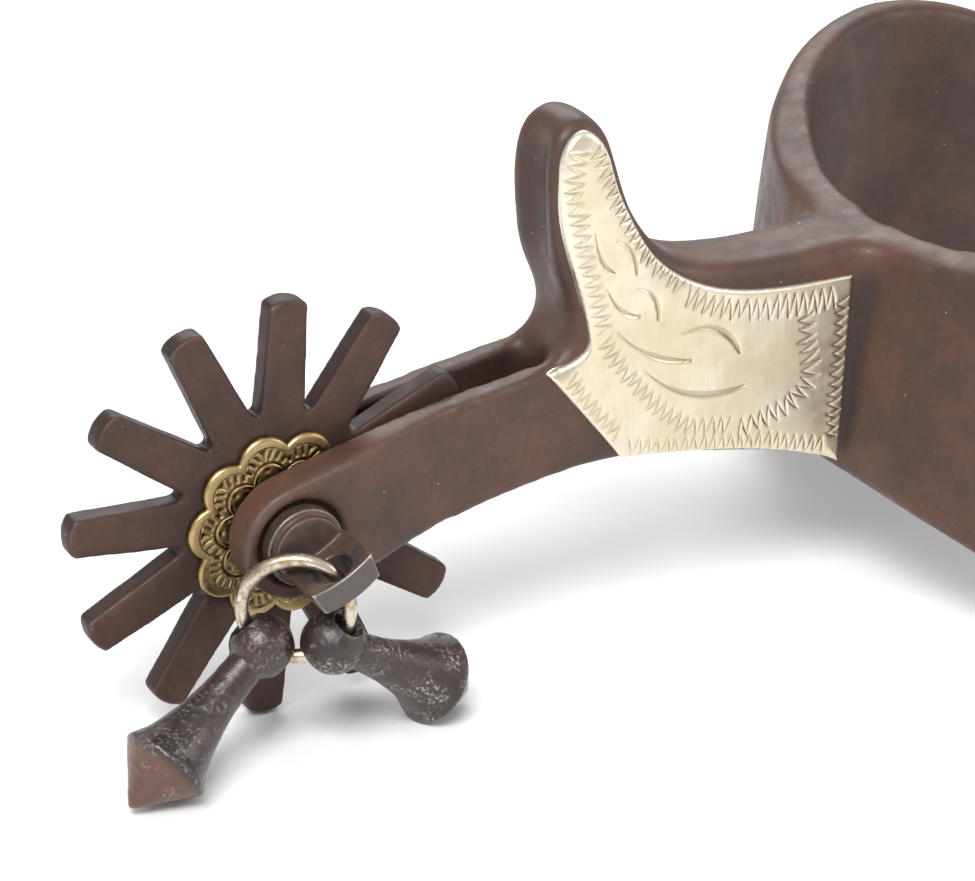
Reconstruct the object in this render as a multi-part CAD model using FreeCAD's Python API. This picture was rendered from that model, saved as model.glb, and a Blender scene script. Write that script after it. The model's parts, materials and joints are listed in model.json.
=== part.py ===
import FreeCAD, Part
import math
import os

# A western riding spur with a raised chap-guard horn: a browned iron heel band and shank,
# engraved nickel-silver side plates, a twelve-point rowel with stamped rosettes, a drilled
# rowel pin that carries a ring with two jingle bobs, and swinging strap buttons.
#
# While it is modelled, the rowel's axis is the origin: +X runs forward to the toe, +Y to the
# left and +Z up. The last step moves everything so that the origin is at the middle of the
# bounding box's base. All sizes are millimetres and all angles are degrees.

# Rowel
ROWEL_RADIUS = 25.4
ROWEL_POINTS = 12
ROWEL_THICKNESS = 3.1
ROWEL_TURN = 85.1
SPOKE_TIP_WIDTH = 4.6
SPOKE_SHOULDER_DROP = 0.7
SPOKE_ROOT_WIDTH = 5.5
SPOKE_ROOT_RADIUS = 12.2

# Rosettes on the rowel's two faces
ROSETTE_LOBES = 10
ROSETTE_TIP_RADIUS = 11.4
ROSETTE_VALLEY_RADIUS = 10.1
ROSETTE_THICKNESS = 0.9
ROSETTE_GAP = 0.12

# Rowel pin: shaft, stepped disc head and drilled lug. The rowel's hole is loose on the pin, so
# with the rowel on the floor the pin lies on the bottom of the hole, below the rowel's centre.
PIN_RADIUS = 2.5
PIN_DROP = 1.4
RUNNING_CLEARANCE = 0.08
HEAD_RADIUS = 4.65
HEAD_STEP_Y = -8.7
HEAD_FACE_RADIUS = 4.0
HEAD_OUTER_Y = -9.6
LUG_OUTER_Y = -16.5
LUG_TILT = 25.5
LUG_HALF_WIDTH = 4.1
LUG_NEAR = 0.25
LUG_FAR = 3.95
LUG_SHIFT = 0.45
LUG_BOW = 0.6
LUG_TAPER = 0.35
LUG_HOLE_RADIUS = 2.25
LUG_HOLE_Y = -13.7
WASHER_RADIUS = 4.6
WASHER_THICKNESS = 1.0
PEEN_RADIUS = 3.4
PEEN_HEIGHT = 0.9

# Shank, fork and horn
SLOT_HALF_WIDTH = 2.8
SLOT_END_X = 35.0
FLANK_Y = 6.0
HORN_TIP_Y = 4.6
EAR_RADIUS = 7.0
EAR_Y = 7.7
EAR_RECESS_RADIUS = 5.3
EAR_RECESS_DEPTH = 0.9
FLARE_START_X = 73.0
FLARE_RADIUS = 4.2

# Engraved side plates
PLATE_THICKNESS = 0.7

# Heel band
BAND_HEEL_X = 80.8
BAND_HALF_WIDTH = 43.3
BAND_DEPTH = 33.4
BAND_THICKNESS = 5.0
BAND_LEAN = 8.0
BAND_RIM_Z = 20.3
HINGE_X = 163.0
HINGE_Z = -2.8
ARM_END_RADIUS = 7.5
ARM_SLOT_WIDTH = 2.0
ARM_SLOT_DEPTH = 9.0

# Swinging hangers and their strap buttons
HANGER_THICKNESS = 1.8
HANGER_KNUCKLE_RADIUS = 5.4
HANGER_FOOT_RADIUS = 6.2
HANGER_REACH = 13.0
HANGER_PIN_RADIUS = 1.5
HANGER_PIN_HEAD_RADIUS = 3.0
HANGER_PIN_HEAD_HEIGHT = 1.1
STUD_HOLE_RADIUS = 2.0
STUD_PEEN_RADIUS = 3.2
STUD_PEEN_HEIGHT = 0.8
STUD_NECK_RADIUS = 3.0
STUD_NECK_LENGTH = 5.0
BUTTON_RADIUS = 8.8
BUTTON_THICKNESS = 1.6
BUTTON_CAP_RADIUS = 8.4
BUTTON_CAP_CROWN = 1.3

# Ring and jingle bobs
RING_RADIUS = 6.0
RING_WIRE_RADIUS = 0.87
RING_TURN = 28.5
RING_HANG = 37.0
BALL_RADIUS = 3.7
BOB_NECK_RADIUS = 2.2
BOB_RIM_RADIUS = 5.3
BOB_RIM_Z = 17.0
BOB_RIM_LAND = 0.3
BOB_TIP_Z = 23.4
BOB_HOLE_RADIUS = 1.6
BOB_HOLE_MOUTH_RADIUS = 2.3
BOB_HOLE_RISE = 0.6
BOB_TRACK_RADIUS = RING_RADIUS - 0.52
BOB_REAR = (-130.0, 195.7)
BOB_FRONT = (-48.0, 12.0)

FLOOR_Z = -ROWEL_RADIUS
UP = FreeCAD.Vector(0, 0, 1)
LEFT = FreeCAD.Vector(0, 1, 0)
ORIGIN = FreeCAD.Vector(0, 0, 0)


def point(x, y, z):
    return FreeCAD.Vector(x, y, z)


def side_point(x, z):
    """A point of a side outline, drawn in the plane of symmetry."""
    return FreeCAD.Vector(x, 0, z)


def polar_side(radius, degrees, centre_x=0.0, centre_z=0.0):
    angle = math.radians(degrees)
    return side_point(centre_x + radius * math.cos(angle), centre_z + radius * math.sin(angle))


def pin_polar(radius, degrees):
    return polar_side(radius, degrees, 0.0, -PIN_DROP)


def curve(points):
    """A smooth edge through the given points."""
    spline = Part.BSplineCurve()
    spline.interpolate(points)
    return spline.toShape()


def arc(start, middle, end):
    return Part.Arc(start, middle, end).toShape()


def line(start, end):
    return Part.LineSegment(start, end).toShape()


def face_of(edges):
    return Part.Face(Part.Wire(Part.__sortEdges__(edges)))


def across(face, y_low, y_high):
    """A side outline made solid between two Y planes."""
    placed = face.copy()
    placed.translate(point(0, y_low, 0))
    return placed.extrude(point(0, y_high - y_low, 0))


def cylinder_y(radius, y_low, y_high, x=0.0, z=0.0):
    return Part.makeCylinder(radius, y_high - y_low, point(x, y_low, z), LEFT)


def pin_cylinder(radius, y_low, y_high):
    """A cylinder about the rowel pin's axis."""
    return cylinder_y(radius, y_low, y_high, 0.0, -PIN_DROP)


def turned(points, axis_start, axis):
    """A solid turned from a closed outline of straight edges."""
    face = Part.Face(Part.makePolygon(points + [points[0]]))
    return face.revolve(axis_start, axis, 360)


def mirrored(shape):
    return shape.mirror(ORIGIN, LEFT)


# ---------------------------------------------------------------- rowel

def spoke_outline_points(index):
    """Root, shoulder, tip, shoulder and root of one spoke, in the rowel's plane."""
    direction = ROWEL_TURN + index * 360.0 / ROWEL_POINTS
    angle = math.radians(direction)
    along = side_point(math.cos(angle), math.sin(angle))
    sideways = side_point(-math.sin(angle), math.cos(angle))
    shoulder_radius = ROWEL_RADIUS - SPOKE_SHOULDER_DROP
    first_root = along * SPOKE_ROOT_RADIUS - sideways * (SPOKE_ROOT_WIDTH / 2)
    first_shoulder = along * shoulder_radius - sideways * (SPOKE_TIP_WIDTH / 2)
    tip = along * ROWEL_RADIUS
    second_shoulder = along * shoulder_radius + sideways * (SPOKE_TIP_WIDTH / 2)
    second_root = along * SPOKE_ROOT_RADIUS + sideways * (SPOKE_ROOT_WIDTH / 2)
    return first_root, first_shoulder, tip, second_shoulder, second_root


def make_rowel():
    edges = []
    previous_root = spoke_outline_points(-1)[4]
    for index in range(ROWEL_POINTS):
        root, shoulder, tip, far_shoulder, far_root = spoke_outline_points(index)
        valley_direction = ROWEL_TURN + (index - 0.5) * 360.0 / ROWEL_POINTS
        valley = polar_side(SPOKE_ROOT_RADIUS, valley_direction)
        edges.append(arc(previous_root, valley, root))
        edges.append(line(root, shoulder))
        edges.append(arc(shoulder, tip, far_shoulder))
        edges.append(line(far_shoulder, far_root))
        previous_root = far_root
    half = ROWEL_THICKNESS / 2
    rowel = across(face_of(edges), -half, half)
    hole_radius = PIN_RADIUS + PIN_DROP + RUNNING_CLEARANCE
    return rowel.cut(cylinder_y(hole_radius, -half - 1, half + 1))


def make_rosette(side):
    """A scalloped washer, loose on the pin beside the rowel; side is +1 left and -1 right."""
    edges = []
    step = 360.0 / ROSETTE_LOBES
    for index in range(ROSETTE_LOBES):
        middle = 30.0 + index * step
        start = pin_polar(ROSETTE_VALLEY_RADIUS, middle - step / 2)
        end = pin_polar(ROSETTE_VALLEY_RADIUS, middle + step / 2)
        edges.append(arc(start, pin_polar(ROSETTE_TIP_RADIUS, middle), end))
    inner = ROWEL_THICKNESS / 2 + ROSETTE_GAP
    disc = across(face_of(edges), inner, inner + ROSETTE_THICKNESS)
    disc = disc.cut(pin_cylinder(PIN_RADIUS + RUNNING_CLEARANCE, 0, inner + 5))
    if side < 0:
        disc = mirrored(disc)
    return disc


# ---------------------------------------------------------------- heel band

def band_plan_half(extra):
    """The band's half-ellipse in plan, grown outwards by extra."""
    centre_x = BAND_HEEL_X + BAND_DEPTH
    ellipse = Part.Ellipse(
        point(centre_x, BAND_HALF_WIDTH + extra, 0),
        point(BAND_HEEL_X - extra, 0, 0),
        point(centre_x, 0, 0),
    )
    return Part.ArcOfEllipse(ellipse, 0, math.pi).toShape()


def band_prism(extra, front_x, z_low, z_high):
    """Everything inside the band's leaning wall, grown outwards by extra."""
    half = BAND_HALF_WIDTH + extra
    centre_x = BAND_HEEL_X + BAND_DEPTH
    left_back = point(centre_x, half, 0)
    right_back = point(centre_x, -half, 0)
    left_front = point(front_x, half, 0)
    right_front = point(front_x, -half, 0)
    edges = [
        band_plan_half(extra),
        line(right_back, right_front),
        line(right_front, left_front),
        line(left_front, left_back),
    ]
    face = face_of(edges)
    lean = math.tan(math.radians(BAND_LEAN))
    face.translate(point((z_low - BAND_RIM_Z) * lean, 0, z_low))
    return face.extrude(point((z_high - z_low) * lean, 0, z_high - z_low))


def band_side_face():
    """The band's height along its length: low at the heel, winged at the sides."""
    top_start = side_point(66.0, 19.7)
    top_end = polar_side(ARM_END_RADIUS, 62, HINGE_X, HINGE_Z)
    low_start = polar_side(ARM_END_RADIUS, -62, HINGE_X, HINGE_Z)
    low_end = side_point(66.0, -7.5)
    top = curve([
        top_start,
        side_point(80.8, 20.3),
        side_point(90.0, 24.0),
        side_point(104.0, 27.2),
        side_point(118.0, 26.6),
        side_point(135.0, 19.5),
        side_point(152.0, 9.0),
        top_end,
    ])
    low = curve([
        low_start,
        side_point(152.0, -16.5),
        side_point(139.0, -22.8),
        side_point(120.0, FLOOR_Z),
        side_point(107.0, -24.3),
        side_point(93.0, -20.4),
        side_point(80.0, -14.3),
        side_point(73.0, -9.8),
        low_end,
    ])
    nose = side_point(HINGE_X + ARM_END_RADIUS, HINGE_Z)
    return face_of([top, arc(top_end, nose, low_start), low, line(low_end, top_start)])


def make_heel_band():
    outer = band_prism(BAND_THICKNESS, HINGE_X + 30, -60, 60)
    inner = band_prism(0, HINGE_X + 40, -70, 70)
    reach = BAND_HALF_WIDTH + BAND_THICKNESS + 5
    band = outer.cut(inner).common(across(band_side_face(), -reach, reach))
    hinge_y = BAND_HALF_WIDTH + BAND_THICKNESS / 2
    slot_back = HINGE_X - ARM_SLOT_DEPTH
    for side in (-1, 1):
        slot = Part.makeBox(
            60, ARM_SLOT_WIDTH, 60,
            point(slot_back, side * hinge_y - ARM_SLOT_WIDTH / 2, HINGE_Z - 30),
        )
        hole = cylinder_y(HANGER_PIN_RADIUS, side * hinge_y - 8, side * hinge_y + 8, HINGE_X, HINGE_Z)
        band = band.cut(slot).cut(hole)
    return band


# ---------------------------------------------------------------- shank with fork and horn

def shank_side_face():
    """The shank from the side: fork ear, fork arms, horn, neck and root."""
    ear_top = pin_polar(EAR_RADIUS, 104)
    ear_low = pin_polar(EAR_RADIUS, -84)
    root_top = side_point(82.0, 20.2)
    root_low = side_point(82.0, -12.2)
    top = curve([
        ear_top,
        side_point(5.5, 7.2),
        side_point(14.0, 9.1),
        side_point(24.0, 10.7),
        side_point(32.3, 12.3),
        side_point(35.6, 14.6),
        side_point(36.0, 18.0),
        side_point(34.2, 22.0),
        side_point(33.0, 27.0),
        side_point(32.6, 32.0),
        side_point(32.8, 36.5),
        side_point(34.2, 40.0),
        side_point(37.3, 41.5),
        side_point(40.4, 40.0),
        side_point(42.2, 36.0),
        side_point(43.6, 30.5),
        side_point(46.2, 25.4),
        side_point(50.5, 21.7),
        side_point(56.0, 20.2),
        side_point(64.0, 19.5),
        side_point(73.0, 19.7),
        root_top,
    ])
    low = curve([
        root_low,
        side_point(72.0, -8.3),
        side_point(64.0, -5.5),
        side_point(57.0, -3.8),
        side_point(49.0, -2.1),
        side_point(41.5, -1.2),
        side_point(33.0, -1.6),
        side_point(23.4, -3.2),
        side_point(14.0, -5.6),
        side_point(7.0, -7.4),
        ear_low,
    ])
    ear = arc(ear_top, pin_polar(EAR_RADIUS, 190), ear_low)
    return face_of([top, line(root_top, root_low), low, ear])


def shank_plan_solid():
    """The shank from above: thicker ears, parallel flanks and a flare onto the band."""
    quarter = math.sqrt(0.5) * FLARE_RADIUS
    flare_end = point(FLARE_START_X + FLARE_RADIUS, FLANK_Y + FLARE_RADIUS, 0)
    flare_middle = point(
        FLARE_START_X + quarter, FLANK_Y + FLARE_RADIUS - quarter, 0,
    )
    half = [
        line(point(-8, EAR_Y, 0), point(3, EAR_Y, 0)),
        curve([
            point(3, EAR_Y, 0),
            point(8, EAR_Y - 0.25, 0),
            point(15, FLANK_Y + 0.25, 0),
            point(20, FLANK_Y, 0),
        ]),
        line(point(20, FLANK_Y, 0), point(FLARE_START_X, FLANK_Y, 0)),
        arc(point(FLARE_START_X, FLANK_Y, 0), flare_middle, flare_end),
        line(flare_end, point(82, FLANK_Y + FLARE_RADIUS, 0)),
    ]
    edges = half + [edge.mirror(ORIGIN, LEFT) for edge in half]
    edges.append(line(point(-8, -EAR_Y, 0), point(-8, EAR_Y, 0)))
    edges.append(line(
        point(82, -FLANK_Y - FLARE_RADIUS, 0), point(82, FLANK_Y + FLARE_RADIUS, 0),
    ))
    face = face_of(edges)
    face.translate(point(0, 0, -40))
    return face.extrude(point(0, 0, 120))


def make_fork_slot():
    straight = SLOT_END_X - SLOT_HALF_WIDTH
    box = Part.makeBox(straight + 20, 2 * SLOT_HALF_WIDTH, 80, point(-20, -SLOT_HALF_WIDTH, -40))
    end = Part.makeCylinder(SLOT_HALF_WIDTH, 80, point(straight, 0, -40))
    return box.fuse(end)


def flank_solid(extra):
    """The shank's flanks from the front: upright along the neck, drawn in up the horn."""
    left = [
        line(point(0, FLANK_Y + extra, -30), point(0, FLANK_Y + extra, 12)),
        curve([
            point(0, FLANK_Y + extra, 12),
            point(0, FLANK_Y + extra - 0.1, 19),
            point(0, FLANK_Y + extra - 0.45, 29),
            point(0, HORN_TIP_Y + extra, 42),
        ]),
    ]
    edges = left + [edge.mirror(ORIGIN, LEFT) for edge in left]
    edges.append(line(point(0, -FLANK_Y - extra, -30), point(0, FLANK_Y + extra, -30)))
    edges.append(line(point(0, -HORN_TIP_Y - extra, 42), point(0, HORN_TIP_Y + extra, 42)))
    return face_of(edges).extrude(point(90, 0, 0))


def horn_shavings():
    """What the horn's draw-in takes off a block with straight flanks."""
    start_x = 20
    block = Part.makeBox(
        FLARE_START_X - start_x, 2 * FLANK_Y + 2, 32, point(start_x, -FLANK_Y - 1, 12),
    )
    return block.cut(flank_solid(0))


def make_shank():
    shank = across(shank_side_face(), -16, 16).common(shank_plan_solid())
    shank = shank.cut(horn_shavings())
    shank = shank.cut(band_prism(BAND_THICKNESS, HINGE_X, -60, 60))
    shank = shank.cut(make_fork_slot())
    for side in (-1, 1):
        low, high = sorted((side * (EAR_Y - EAR_RECESS_DEPTH), side * (EAR_Y + 3)))
        shank = shank.cut(pin_cylinder(EAR_RECESS_RADIUS, low, high))
    return shank.cut(pin_cylinder(PIN_RADIUS, -20, 20))


def plate_face():
    """The engraved plate's outline: a feather tip up the horn and a bar along the neck."""
    foot = side_point(71.9, -8.0)
    upper_corner = side_point(73.0, 15.9)
    rear_notch = side_point(37.6, 14.5)
    rear_point = side_point(32.2, 11.5)
    low_corner = side_point(42.0, -1.0)
    return face_of([
        line(foot, upper_corner),
        curve([
            upper_corner,
            side_point(61.7, 16.4),
            side_point(51.5, 19.2),
            side_point(46.0, 23.7),
            side_point(43.2, 28.6),
            side_point(41.2, 33.5),
            side_point(39.7, 38.0),
            side_point(37.3, 39.8),
            side_point(35.1, 38.4),
            side_point(34.1, 35.0),
            side_point(34.0, 30.5),
            side_point(35.0, 25.0),
            side_point(36.5, 20.0),
            rear_notch,
        ]),
        curve([rear_notch, side_point(36.4, 12.9), side_point(34.5, 12.2), rear_point]),
        line(rear_point, low_corner),
        curve([low_corner, side_point(53.0, -2.4), side_point(63.5, -4.8), foot]),
    ])


def make_side_plate(side):
    sheet = flank_solid(PLATE_THICKNESS).cut(flank_solid(0))
    plate = across(plate_face(), 0, FLANK_Y + 2).common(sheet)
    if side < 0:
        plate = mirrored(plate)
    return plate


# ---------------------------------------------------------------- rowel pin

def lug_point(across_lug, above_axis, y=0.0):
    """A point in the lug's own directions, which are tipped about the pin's axis."""
    tilt = math.radians(LUG_TILT)
    along = across_lug + LUG_SHIFT
    x = along * math.cos(tilt) - above_axis * math.sin(tilt)
    z = along * math.sin(tilt) + above_axis * math.cos(tilt)
    return point(x, y, z - PIN_DROP)


def make_rowel_pin():
    seat_y = EAR_Y - EAR_RECESS_DEPTH
    shaft = pin_cylinder(PIN_RADIUS, -seat_y - 0.5, seat_y + WASHER_THICKNESS)
    head = pin_cylinder(HEAD_RADIUS, HEAD_STEP_Y, -seat_y)
    head_face = pin_cylinder(HEAD_FACE_RADIUS, HEAD_OUTER_Y, HEAD_STEP_Y)
    near_width = LUG_HALF_WIDTH
    far_width = LUG_HALF_WIDTH - LUG_TAPER
    near_back = lug_point(-near_width, -LUG_NEAR)
    near_middle = lug_point(0, -LUG_NEAR - LUG_BOW)
    near_front = lug_point(near_width, -LUG_NEAR)
    far_front = lug_point(far_width, -LUG_FAR + LUG_BOW)
    far_middle = lug_point(0, -LUG_FAR)
    far_back = lug_point(-far_width, -LUG_FAR + LUG_BOW)
    lug_face = face_of([
        arc(near_back, near_middle, near_front),
        line(near_front, far_front),
        arc(far_front, far_middle, far_back),
        line(far_back, near_back),
    ])
    lug = across(lug_face, LUG_OUTER_Y, HEAD_OUTER_Y + 0.5)
    hole_start = lug_point(0, -10, LUG_HOLE_Y)
    hole_axis = lug_point(0, 2, LUG_HOLE_Y) - hole_start
    hole = Part.makeCylinder(LUG_HOLE_RADIUS, hole_axis.Length, hole_start, hole_axis)
    peen_base = seat_y + WASHER_THICKNESS
    peen = turned(
        [
            point(0, peen_base, -PIN_DROP),
            point(PEEN_RADIUS, peen_base, -PIN_DROP),
            point(PEEN_RADIUS * 0.8, peen_base + PEEN_HEIGHT * 0.7, -PIN_DROP),
            point(PEEN_RADIUS * 0.4, peen_base + PEEN_HEIGHT, -PIN_DROP),
            point(0, peen_base + PEEN_HEIGHT, -PIN_DROP),
        ],
        point(0, 0, -PIN_DROP), LEFT,
    )
    return shaft.fuse([head, head_face, lug, peen]).cut(hole).removeSplitter()


def make_rowel_pin_washer():
    seat_y = EAR_Y - EAR_RECESS_DEPTH
    washer = pin_cylinder(WASHER_RADIUS, seat_y, seat_y + WASHER_THICKNESS)
    return washer.cut(pin_cylinder(PIN_RADIUS, seat_y - 1, seat_y + 3))


# ---------------------------------------------------------------- ring and jingle bobs

def ring_directions():
    """Two unit vectors in the ring's plane, one level and one upright, and its normal."""
    turn = math.radians(RING_TURN)
    level = point(math.cos(turn), -math.sin(turn), 0)
    return level, UP, level.cross(UP)


def lug_hole_centre():
    return lug_point(0, -(LUG_NEAR + LUG_BOW + LUG_FAR) / 2, LUG_HOLE_Y)


def ring_centre():
    level, upright, normal = ring_directions()
    hang = math.radians(RING_HANG)
    return lug_hole_centre() - (level * math.cos(hang) + upright * math.sin(hang)) * RING_RADIUS


def make_jingle_ring():
    level, upright, normal = ring_directions()
    return Part.makeTorus(RING_RADIUS, RING_WIRE_RADIUS, ring_centre(), normal)


def bob_outline():
    """Half of a jingle bob's outline in the XZ plane, from the ball to the pointed cap."""
    ball_join = math.acos(BOB_NECK_RADIUS / BALL_RADIUS)
    neck = side_point(BOB_NECK_RADIUS, BALL_RADIUS * math.sin(ball_join))
    rim = side_point(BOB_RIM_RADIUS, BOB_RIM_Z)
    rim_edge = side_point(BOB_RIM_RADIUS, BOB_RIM_Z + BOB_RIM_LAND)
    tip = side_point(0.35, BOB_TIP_Z - 0.15)
    top = side_point(0, BOB_TIP_Z)
    flare = curve([
        neck,
        side_point(BOB_NECK_RADIUS + 0.15, 7.0),
        side_point(BOB_NECK_RADIUS + 0.75, 11.0),
        side_point(BOB_NECK_RADIUS + 1.75, 14.5),
        rim,
    ])
    ball = arc(side_point(0, -BALL_RADIUS), side_point(BALL_RADIUS, 0), neck)
    return face_of([
        ball, flare, line(rim, rim_edge), line(rim_edge, tip), line(tip, top),
        line(top, side_point(0, -BALL_RADIUS)),
    ])


def make_bob_upright():
    """A jingle bob standing on its ball at the origin, with its ring hole along X."""
    body = bob_outline().revolve(ORIGIN, UP, 360)
    reach = BALL_RADIUS + 0.5
    mouth_depth = 1.6
    hole = turned(
        [
            side_point(-reach, 0),
            side_point(-reach, BOB_HOLE_MOUTH_RADIUS),
            side_point(-reach + mouth_depth, BOB_HOLE_RADIUS),
            side_point(reach - mouth_depth, BOB_HOLE_RADIUS),
            side_point(reach, BOB_HOLE_MOUTH_RADIUS),
            side_point(reach, 0),
        ],
        ORIGIN, point(1, 0, 0),
    )
    hole.translate(point(0, 0, -BOB_HOLE_RISE))
    return body.cut(hole)


def resting_slope(hinge_height):
    """How far a bob dips below level, in radians, when its rim lies on the floor."""
    rim_distance = BOB_HOLE_RISE + BOB_RIM_Z + BOB_RIM_LAND
    reach = math.hypot(rim_distance, BOB_RIM_RADIUS)
    return math.asin(hinge_height / reach) - math.atan2(BOB_RIM_RADIUS, rim_distance)


def bob_pose(ring_angle, heading):
    """Where a bob hangs: its hinge, its ball's centre, its own axis and its hole's axis."""
    level, upright, normal = ring_directions()
    angle = math.radians(ring_angle)
    outward = level * math.cos(angle) + upright * math.sin(angle)
    tangent = upright * math.cos(angle) - level * math.sin(angle)
    hinge = ring_centre() + outward * BOB_TRACK_RADIUS
    course = math.radians(heading)
    slope = resting_slope(hinge.z - FLOOR_Z)
    axis = point(
        math.cos(course) * math.cos(slope), math.sin(course) * math.cos(slope), -math.sin(slope),
    )
    hole_axis = tangent - axis * tangent.dot(axis)
    hole_axis.normalize()
    return hinge, hinge + axis * BOB_HOLE_RISE, axis, hole_axis


def make_jingle_bob(ring_angle, heading):
    hinge, centre, axis, hole_axis = bob_pose(ring_angle, heading)
    third = axis.cross(hole_axis)
    placement = FreeCAD.Matrix(
        hole_axis.x, third.x, axis.x, centre.x,
        hole_axis.y, third.y, axis.y, centre.y,
        hole_axis.z, third.z, axis.z, centre.z,
        0, 0, 0, 1,
    )
    bob = make_bob_upright()
    bob.Placement = FreeCAD.Placement(placement)
    return bob


# ---------------------------------------------------------------- hangers and strap buttons

def hanger_face():
    """A hanger hanging straight down from its hinge, as a side outline."""
    foot_z = HINGE_Z - HANGER_REACH
    knuckle = HANGER_KNUCKLE_RADIUS
    foot = HANGER_FOOT_RADIUS
    return face_of([
        arc(
            side_point(HINGE_X - knuckle, HINGE_Z),
            side_point(HINGE_X, HINGE_Z + knuckle),
            side_point(HINGE_X + knuckle, HINGE_Z),
        ),
        arc(
            side_point(HINGE_X + knuckle, HINGE_Z),
            side_point(HINGE_X + knuckle - 0.6, HINGE_Z - HANGER_REACH * 0.4),
            side_point(HINGE_X + foot, foot_z),
        ),
        arc(
            side_point(HINGE_X + foot, foot_z),
            side_point(HINGE_X, foot_z - foot),
            side_point(HINGE_X - foot, foot_z),
        ),
        arc(
            side_point(HINGE_X - foot, foot_z),
            side_point(HINGE_X - knuckle + 0.6, HINGE_Z - HANGER_REACH * 0.4),
            side_point(HINGE_X - knuckle, HINGE_Z),
        ),
    ])


def hanger_mid_y():
    return BAND_HALF_WIDTH + BAND_THICKNESS / 2


def make_left_hanger():
    middle = hanger_mid_y()
    half = HANGER_THICKNESS / 2
    hanger = across(hanger_face(), middle - half, middle + half)
    bore = HANGER_PIN_RADIUS + RUNNING_CLEARANCE
    hanger = hanger.cut(cylinder_y(bore, middle - 5, middle + 5, HINGE_X, HINGE_Z))
    stud_z = HINGE_Z - HANGER_REACH
    return hanger.cut(cylinder_y(STUD_HOLE_RADIUS, middle - 5, middle + 5, HINGE_X, stud_z))


def make_left_hanger_pin():
    inner = BAND_HALF_WIDTH
    outer = BAND_HALF_WIDTH + BAND_THICKNESS
    radius = HANGER_PIN_HEAD_RADIUS
    height = HANGER_PIN_HEAD_HEIGHT
    return turned(
        [
            point(HINGE_X, inner, HINGE_Z),
            point(HINGE_X + HANGER_PIN_RADIUS, inner, HINGE_Z),
            point(HINGE_X + HANGER_PIN_RADIUS, outer, HINGE_Z),
            point(HINGE_X + radius, outer, HINGE_Z),
            point(HINGE_X + radius * 0.85, outer + height * 0.6, HINGE_Z),
            point(HINGE_X + radius * 0.5, outer + height * 0.92, HINGE_Z),
            point(HINGE_X, outer + height, HINGE_Z),
        ],
        point(HINGE_X, 0, HINGE_Z), LEFT,
    )


def button_seat_y():
    """The plane between the button's head and its crowned cap."""
    hanger_outer = hanger_mid_y() + HANGER_THICKNESS / 2
    return hanger_outer + STUD_NECK_LENGTH + BUTTON_THICKNESS


def make_left_button_stud():
    stud_z = HINGE_Z - HANGER_REACH
    inner = hanger_mid_y() - HANGER_THICKNESS / 2
    outer = hanger_mid_y() + HANGER_THICKNESS / 2
    head_inner = outer + STUD_NECK_LENGTH
    seat = button_seat_y()
    return turned(
        [
            point(HINGE_X, inner - STUD_PEEN_HEIGHT, stud_z),
            point(HINGE_X + STUD_PEEN_RADIUS * 0.7, inner - STUD_PEEN_HEIGHT, stud_z),
            point(HINGE_X + STUD_PEEN_RADIUS, inner, stud_z),
            point(HINGE_X + STUD_HOLE_RADIUS, inner, stud_z),
            point(HINGE_X + STUD_HOLE_RADIUS, outer, stud_z),
            point(HINGE_X + STUD_NECK_RADIUS + 0.8, outer, stud_z),
            point(HINGE_X + STUD_NECK_RADIUS, outer + 0.8, stud_z),
            point(HINGE_X + STUD_NECK_RADIUS, head_inner - 0.6, stud_z),
            point(HINGE_X + STUD_NECK_RADIUS + 0.6, head_inner, stud_z),
            point(HINGE_X + BUTTON_RADIUS - 0.4, head_inner, stud_z),
            point(HINGE_X + BUTTON_RADIUS, head_inner + 0.5, stud_z),
            point(HINGE_X + BUTTON_RADIUS, seat - 0.4, stud_z),
            point(HINGE_X + BUTTON_RADIUS - 0.3, seat, stud_z),
            point(HINGE_X, seat, stud_z),
        ],
        point(HINGE_X, 0, stud_z), LEFT,
    )


def make_left_button_cap():
    stud_z = HINGE_Z - HANGER_REACH
    seat = button_seat_y()
    crown_radius = (BUTTON_CAP_RADIUS ** 2 + BUTTON_CAP_CROWN ** 2) / (2 * BUTTON_CAP_CROWN)
    ball = Part.makeSphere(
        crown_radius, point(HINGE_X, seat + 0.4 + BUTTON_CAP_CROWN - crown_radius, stud_z),
    )
    blank = cylinder_y(BUTTON_CAP_RADIUS, seat, seat + 5, HINGE_X, stud_z)
    return blank.common(ball)


# ---------------------------------------------------------------- assembly

def make_all():
    parts = {
        "rowel": make_rowel(),
        "rosette_left": make_rosette(1),
        "rosette_right": make_rosette(-1),
        "heel_band": make_heel_band(),
        "shank": make_shank(),
        "side_plate_left": make_side_plate(1),
        "side_plate_right": make_side_plate(-1),
        "rowel_pin": make_rowel_pin(),
        "rowel_pin_washer": make_rowel_pin_washer(),
        "jingle_ring": make_jingle_ring(),
        "jingle_bob_rear": make_jingle_bob(*BOB_REAR),
        "jingle_bob_front": make_jingle_bob(*BOB_FRONT),
    }
    left_makers = {
        "hanger": make_left_hanger,
        "hanger_pin": make_left_hanger_pin,
        "button_stud": make_left_button_stud,
        "button_cap": make_left_button_cap,
    }
    for name, maker in left_makers.items():
        left = maker()
        parts[name + "_left"] = left
        parts[name + "_right"] = mirrored(left)
    return parts


def base_centre(parts):
    """The middle of the base of the box around every part."""
    box = FreeCAD.BoundBox()
    for shape in parts.values():
        box.add(shape.optimalBoundingBox(False, False))
    return point((box.XMin + box.XMax) / 2, (box.YMin + box.YMax) / 2, box.ZMin)


def main():
    os.makedirs("parts", exist_ok=True)
    parts = make_all()
    base = base_centre(parts)
    print("origin on the rowel's axis is moved by", -base)
    for name, shape in parts.items():
        shape.translate(-base)
        shape.exportStep("parts/" + name + ".step")
        box = shape.BoundBox
        print(
            f"{name:20s} solids {len(shape.Solids)} valid {shape.isValid()} volume {shape.Volume:9.1f}",
            f"z {box.ZMin:7.2f} {box.ZMax:7.2f}",
        )


main()
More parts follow.
